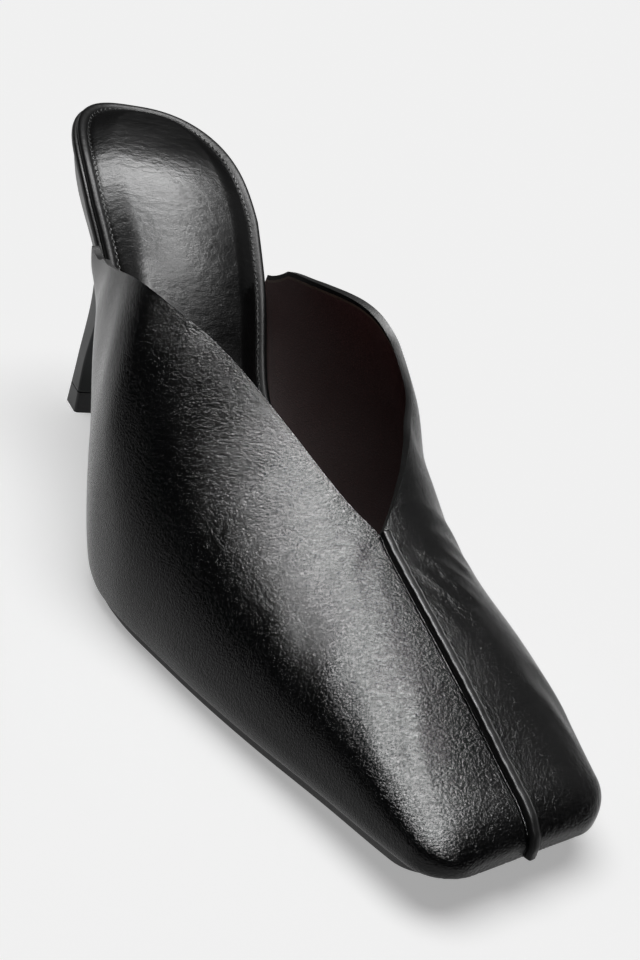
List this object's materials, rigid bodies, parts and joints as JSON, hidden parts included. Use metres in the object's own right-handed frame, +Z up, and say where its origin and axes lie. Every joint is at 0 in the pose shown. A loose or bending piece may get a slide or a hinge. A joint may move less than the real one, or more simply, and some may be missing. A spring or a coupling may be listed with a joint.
{
  "type": "heeled mule shoe",
  "caption": "High-heeled slip-on mule for the right foot with a squared toe, a deep V throat, a raised seam down the vamp and a slim squared heel.",
  "frame": {"origin": "on the floor, under the middle of the shoe's bounding box", "axes": "+Z up, toe to -Y, back of the heel to +Y, inner side of the foot to +X"},
  "size_m": [0.0808, 0.2358, 0.0838],
  "materials": {
    "upper_leather": "fine grain, semi-gloss",
    "sock_leather": "glossy",
    "sole": "matt edge paint",
    "heel_cover": "smooth satin",
    "top_piece_rubber": "matt"
  },
  "bodies": {
    "root": {"upper": "upper_leather", "outsole": "sole", "insole": "upper_leather", "sock": "sock_leather", "heel": "heel_cover", "top_piece": "top_piece_rubber"}
  },
  "joints": []
}
